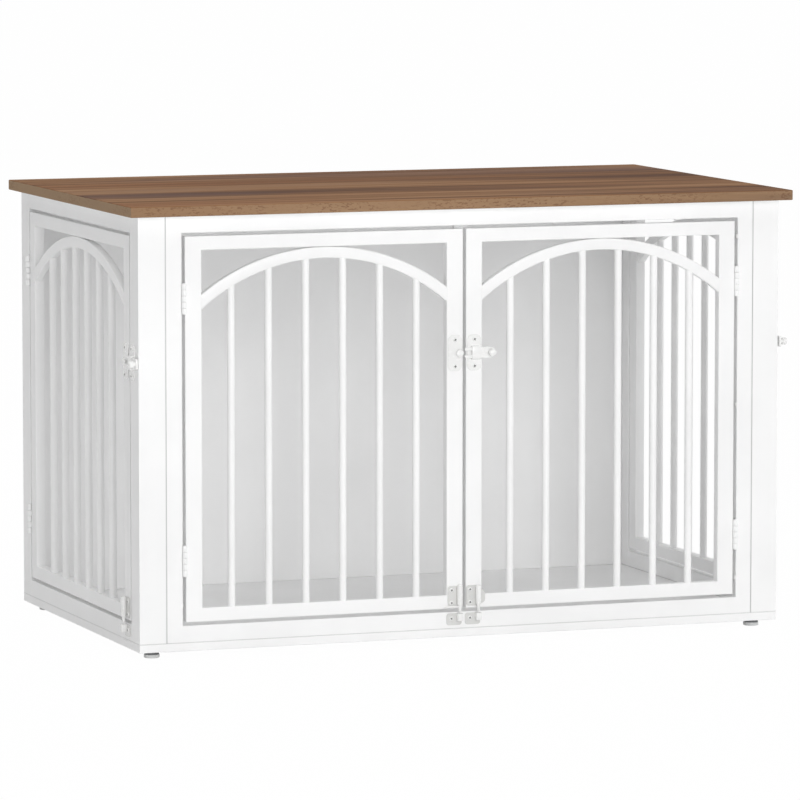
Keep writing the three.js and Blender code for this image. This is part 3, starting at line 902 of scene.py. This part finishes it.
# The barrel is a tube, and where a tab slides in it, it is a ring that stays open on the side
# away from the plate: two arcs that end at asin(slotHalf / radius) from the middle of the slot.
def boltBarrel(size, slotted):
    outer, inner = size["barrel"], size["bore"]
    low = size["slotTop"] if slotted else size["barrelLow"]
    shells = [tube(outer, inner, low, size["plateHigh"], size["barrelRim"])]
    if slotted:
        outerEnd = math.degrees(math.asin(size["slotHalf"] / outer))
        innerEnd = math.degrees(math.asin(size["slotHalf"] / inner))
        outline = np.concatenate(
            [
                arc(0, 0, outer, outerEnd - 180, 180 - outerEnd, 40),
                arc(0, 0, inner, 180 - innerEnd, innerEnd - 180, 32),
            ]
        )
        shells.append(slab(outline, size["barrelLow"], low + size["slotLap"], size["slotRim"]))
    return shifted(joined(*shells), 0.0, -size["axis"])


# The rod runs up from its tip.
def boltRod(size, length):
    low = size["tip"]
    upright = rod(size["rod"], low, low + length, size["rodRim"], size["rodEase"])
    return shifted(upright, 0.0, -size["axis"])


# The lever is a round rod along u with a ball end.
def boltLever(size):
    radius, reach = size["lever"], size["leverReach"]
    profile = np.concatenate([[[radius, 0.0]], arc(0.0, reach - radius, radius, 0, 80, 5)])
    return mapped(lathe(profile, 24), across, (0.0, -size["axis"], size["leverHeight"]))


# The tab is a flat plate with two round corners, on the rod's axis.
def boltTab(size):
    low, high, reach, bend = size["tabLow"], size["tabHigh"], size["tabReach"], size["tabRound"]
    outline = np.concatenate(
        [
            [[0.0, low], [0.0, high]],
            arc(bend - reach, high - bend, bend, 90, 180, 8),
            arc(bend - reach, low + bend, bend, 180, 270, 8),
        ]
    )
    axis, half = size["axis"], size["tabHalf"]
    return mapped(slab(outline, axis - half, axis + half, size["tabRim"]), proud)


# The keeper's loop is a strap bent over the rod's path and carried up.
def keeperLoop(size):
    inner, foot = size["loopInner"], -size["footing"]
    outer = inner + size["loopWall"]
    top = -size["axis"] - outer
    roof = top + size["loopWall"]
    bend, innerBend = size["loopBend"], size["loopInnerBend"]
    outline = np.concatenate(
        [
            [[-outer, foot]],
            arc(bend - outer, top + bend, bend, 180, 270, 6),
            arc(outer - bend, top + bend, bend, 270, 360, 6),
            [[outer, foot], [inner, foot]],
            arc(inner - innerBend, roof + innerBend, innerBend, 360, 270, 6),
            arc(innerBend - inner, roof + innerBend, innerBend, 270, 180, 6),
            [[-inner, foot]],
        ]
    )
    return slab(outline, size["loopLow"], size["keeperHigh"], size["loopRim"], 2)


# `side` and `end` are from the table's side and from its front or rear to the middle of the foot.
foot = {"radius": 11.5, "neck": 10.6, "disc": 5.3, "height": 11.0, "side": 27.5, "end": 30.0}


# A levelling foot: a wide disc with rounded rims under a narrower neck with a collar
def levellingFoot(size):
    radius, disc, neck = size["radius"], size["disc"], size["neck"]
    profile = [
        (radius - 2.2, 0.0),
        (radius - 1.2, 0.05),
        (radius - 0.4, 0.4),
        (radius, 1.2),
        (radius, disc - 1.6),
        (radius - 0.3, disc - 0.6),
        (radius - 1.1, disc - 0.1),
        (radius - 2.0, disc),
        (neck + 0.4, disc),
        (neck, disc + 0.4),
        (neck, size["height"]),
    ]
    return lathe(profile, 56)


cap = {
    "radius": 4.2,
    "rise": 1.9,
    "seat": 0.2,
    "depth": 4.9,  # from the face to its middle
    "onStiles": [589.0, 337.0, 77.0],
    "underRails": [-337.0, -143.0],
}


# A cap is a low dome: radius * cos(t) at the height rise * sin(t).
def capDome(size):
    turn = np.radians(np.linspace(0.0, 84.0, 8))
    dome = np.stack([size["radius"] * np.cos(turn), size["rise"] * np.sin(turn)], axis=1)
    return lathe(np.concatenate([[[size["radius"], -size["seat"]]], dome]), 32)


# A board of the carcase between two places on a face, its edges broken
def railBoard(left, right, low, high):
    outline = rectangle(left, right, low, high)
    return mapped(slab(outline, -table["board"], 0.0, table["edgeBreak"]), proud)


# A door with its grille and hinges, hung at the left of the span between two fixed edges
def hangDoor(prefix, face, hingeEdge, latchEdge, margin):
    left, right = hingeEdge + table["gap"], latchEdge - table["gap"]
    bars, node = weldedGrille(left, right, margin, grille), prefix + "_grille"
    addPiece(prefix + "_welded_grille", bars, face, steelFinish, prefix, [node])
    pinLine = hingeEdge + table["gap"] / 2
    lows = {
        "lower": table["doorLow"] + hinge["endInset"],
        "upper": table["doorHigh"] - hinge["endInset"] - hinge["height"],
    }
    leaves = {
        "frame": (joined(hingeLeaf(-1, (0, 2, 4), hinge), pinHeads(hinge)), -1, "cabinet"),
        "door": (hingeLeaf(1, (1, 3), hinge), 1, prefix),
    }
    for level, low in lows.items():
        for part, (shell, side, body) in leaves.items():
            leaf = f"{prefix}_{level}_hinge_{part}_leaf"
            placed = shifted(shell, pinLine, 0.0, low)
            addPiece(leaf + "_steel", placed, face, steelFinish, body, [leaf])
            heads = shifted(hingeScrews(side, hinge), pinLine, 0.0, low)
            addPiece(leaf + "_screws", heads, face, steelFinish, body, recessed=True)


# A latch about the middle of a gap: stud plate on the left, housing and bar on the right
def addLatch(prefix, face, centre, studBody, housingBody):
    rise, reach = latch["screwRise"], latch["screwFromGap"]
    shells = {
        "stud_plate": (joined(latchPlate(-1, latch), latchStud(latch)), studBody),
        "housing": (joined(latchPlate(1, latch), latchBridge(latch)), housingBody),
        "bar": (latchBar(latch), prefix + "_slider"),
    }
    for part, (shell, body) in shells.items():
        name = f"{prefix}_{part}"
        placed = shifted(shell, centre, 0.0, latch["height"])
        addPiece(name + "_enamel", placed, face, enamelFinish, body, [name])
    for side, part, body in ((-1, "stud_plate", studBody), (1, "housing", housingBody)):
        places = [(side * reach, rise), (side * reach, -rise)]
        heads = screwsAt(places, latch["plate"], screw["radius"], screw["rise"])
        addScrews(f"{prefix}_{part}_screws", shifted(heads, centre, 0.0, latch["height"]), face, body)


# A drop bolt with its rod's axis at u, its keeper and all their screws. A keeper that is part of a
# rail in the model has no node of its own to stand for.
def addBolt(prefix, face, u, withLever=False):
    size, slot = bolt, "latch_steel"
    door, slider = prefix + "_door", prefix + "_bolt"
    body, shaft, keeper = slider + "_body", slider + "_rod", slider + "_keeper"
    kept = [keeper] if keeper in nodes else []
    plate = boltPlate(size, -size["plateLap"], size["plateReach"], size["plateLow"], size["plateHigh"])
    barrel = boltBarrel(size, not withLever)
    length, grip, gripFinish = size["tabRod"], boltTab(size), plateFinish
    if withLever:
        length, grip, gripFinish = size["leverRod"], boltLever(size), enamelFinish
    left = -size["loopInner"] - size["loopWall"]
    lower = boltPlate(size, left, size["keeperReach"], size["keeperLow"], size["keeperHigh"])
    addPiece(body + "_plate", shifted(plate, u), face, plateFinish, door, [body])
    addPiece(body + "_barrel", shifted(barrel, u), face, enamelFinish, door)
    upright = shifted(boltRod(size, length), u)
    addPiece(shaft + "_enamel", upright, face, enamelFinish, slider, [shaft])
    addPiece(shaft + "_grip", shifted(grip, u), face, gripFinish, slider)
    addPiece(keeper + "_plate", shifted(lower, u), face, plateFinish, "cabinet", kept)
    addPiece(keeper + "_strap", shifted(keeperLoop(size), u), face, enamelFinish, "cabinet")
    for part, places, rider in (
        (body, size["plateScrews"], door),
        (keeper, size["keeperScrews"], "cabinet"),
    ):
        heads = screwsAt(places, size["plate"], size["screwRadius"], size["screwRise"])
        addScrews(part + "_screws", shifted(heads, u), face, rider)


gap, opening = table["gap"], table["opening"]
sideStart, sideEnd = table["post"] - table["depth"], -table["post"]  # u between the side's posts
hangDoor("front_left_door", frontFace, -opening, gap / 2, grille["frontMargin"])
hangDoor("front_right_door", frontMirrored, -opening, gap / 2, grille["frontMargin"])
for side, face in sides.items():
    hangDoor(side + "_side_door", face, sideStart, sideEnd, grille["sideMargin"])
print("grilles and hinges made")

addLatch("front_latch", frontFace, 0.0, "front_left_door", "front_right_door")
for side, face in sides.items():
    addLatch(side + "_side_latch", face, sideEnd - gap / 2, side + "_side_door", "cabinet")
addBolt("front_left", frontMirrored, gap / 2 + bolt["leverInset"], withLever=True)
addBolt("front_right", frontMirrored, -gap / 2 - bolt["tabInset"])
for side, face in sides.items():
    addBolt(side + "_side", face, sideEnd - gap - bolt["tabInset"])
print("latches and bolts made")

railTop, railUnder = table["floorTop"] + table["rail"], table["wallTop"] - table["rail"]
for side, face in sides.items():
    name = side + "_bottom_rail"
    board = railBoard(sideStart, sideEnd, table["floorTop"], railTop)
    addPiece(name + "_board", board, face, jointFinish, "cabinet", [name])
    for end, u in (("front", -foot["end"]), ("rear", foot["end"] - table["depth"])):
        node = f"{side}_{end}_foot"
        shell = shifted(levellingFoot(foot), u, foot["side"])
        addPiece(node + "_plastic", shell, face, footFinish, "cabinet", [node])

# Caps over the frame's fixing screws: on the inner faces of the stiles, and under the top rails
sideways, hanging = mapped(capDome(cap), across), mapped(capDome(cap), downwards)
for side, face in (("left", frontFace), ("right", frontMirrored)):
    domes = [shifted(sideways, -opening, cap["depth"], w) for w in cap["onStiles"]]
    domes += [shifted(hanging, u, cap["depth"], railUnder) for u in cap["underRails"]]
    addPiece(f"front_frame_{side}_caps", joined(*domes), face, capFinish, "cabinet")
for side, face in sides.items():
    dome = shifted(hanging, (sideStart + sideEnd) / 2, cap["depth"], railUnder)
    addPiece(f"{side}_top_rail_cap", dome, face, capFinish, "cabinet")
print("rails, feet and caps made")

# The boards stay as the CAD made them and get their finish.
for name, node in nodes.items():
    if node.hide_render:
        continue
    materials = node.data.materials
    materials.clear()
    if name != "top_board":
        jointed = name == "front_frame" or name.endswith("_post")
        materials.append(jointFinish if jointed else boardFinish)
        continue
    for finish in (woodFinish, frontBandFinish, sideBandPaintedLightFinish, boardFinish):
        materials.append(finish)
    normals = np.empty(len(node.data.polygons) * 3)
    node.data.polygons.foreach_get("normal", normals)
    alongX, alongY, rise = normals.reshape(-1, 3).T
    # 0 is the face, 3 the white underside, 2 a side band and 1 a front or rear band
    kinds = [rise > 0.5, rise < -0.8, np.abs(alongX) > np.abs(alongY)]
    which = np.select(kinds, [0, 3, 2], 1)
    node.data.polygons.foreach_set("material_index", which.astype(np.int32))

studio = {  # in metres
    "floorSize": 120.0,
    "floorShade": 0.86,
    "floorGlow": 0.99,  # share of plain white that the camera sees on the floor
    "ambient": 0.31,
    "aim": (0.0, 0.0, 0.35),  # what the lamps look at
    "lamps": {  # place, watts and size of each square lamp
        "key_lamp": ((-0.4, -5.4, 1.5), 131.0, 3.0),
        "top_lamp": ((-0.4, 0.2, 4.2), 74.0, 4.0),
        "left_lamp": ((-4.6, -0.6, 1.0), 14.0, 2.5),
        "right_lamp": ((4.6, -0.6, 1.0), 44.0, 2.5),
    },
}


# The floor is diffuse, so it keeps the shadow, under a share of plain white for camera rays.
def makeFloor():
    half = studio["floorSize"] / 2
    corners = rectangle(-half, half, -half, half)
    mesh = bpy.data.meshes.new("studio_floor")
    mesh.from_pydata(np.column_stack([corners, np.zeros(4)]).tolist(), [], [(0, 1, 2, 3)])
    finish = Finish("studio_white")
    cloud = finish.noise(finish.place, 2.0)
    shade = studio["floorShade"]
    finish.shade(Base_Color=finish.mixed(cloud, grey(shade), grey(shade * 0.99)), Roughness=0.9)
    plain = Signal(finish, finish.shader.outputs["BSDF"])
    glow = finish.node("ShaderNodeEmission", {}, {"Color": grey(1.0), "Strength": 1.0})
    finish.show("Material Output", plain, glow, finish.seen() * studio["floorGlow"])
    mesh.materials.append(finish.material)
    floor = bpy.data.objects.new("studio_floor", mesh)
    bpy.context.scene.collection.objects.link(floor)


# The world lights the object softly and is white to the camera.
def makeWorld():
    world = bpy.data.worlds.new("studio_world")
    bpy.context.scene.world = world
    sky = Graph(world)
    light = {"Color": grey(1.0), "Strength": studio["ambient"]}
    soft = sky.node("ShaderNodeBackground", {}, light)
    white = sky.node("ShaderNodeBackground", {}, {"Color": grey(1.0), "Strength": 1.0})
    sky.show("World Output", soft, white, sky.seen())


# A square lamp that looks at the middle of the table
def makeLamp(name, place, energy, size):
    lamp = bpy.data.lights.new(name, "AREA")
    lamp.energy = energy
    lamp.size = size
    holder = bpy.data.objects.new(name, lamp)
    bpy.context.scene.collection.objects.link(holder)
    holder.location = place
    x, y, z = np.array(studio["aim"]) - np.array(place)
    holder.rotation_euler = (math.atan2(math.hypot(x, y), -z), 0.0, math.atan2(-x, y))


photoCamera = {
    "lens": 264.2,
    "sensor": 36.0,
    "place": (-3.0428, -8.2808, 1.2743),  # metres
    "tilt": 6.102,  # degrees down from the level
    "turn": 20.217,  # degrees to the right of straight on
    "farthest": 100.0,  # metres
}


# The camera stands where the corners of the table fall as they do in the photo.
def makeCamera(view):
    lens = bpy.data.cameras.new("photo_camera")
    lens.lens = view["lens"]
    lens.sensor_width = view["sensor"]
    lens.clip_end = view["farthest"]
    camera = bpy.data.objects.new("photo_camera", lens)
    bpy.context.scene.collection.objects.link(camera)
    camera.location = view["place"]
    camera.rotation_euler = (math.radians(90.0 - view["tilt"]), 0.0, -math.radians(view["turn"]))
    bpy.context.scene.camera = camera


makeFloor()
makeWorld()
for name, (place, energy, size) in studio["lamps"].items():
    makeLamp(name, place, energy, size)
makeCamera(photoCamera)
bpy.context.scene.view_settings.view_transform = "Standard"
print("studio made")
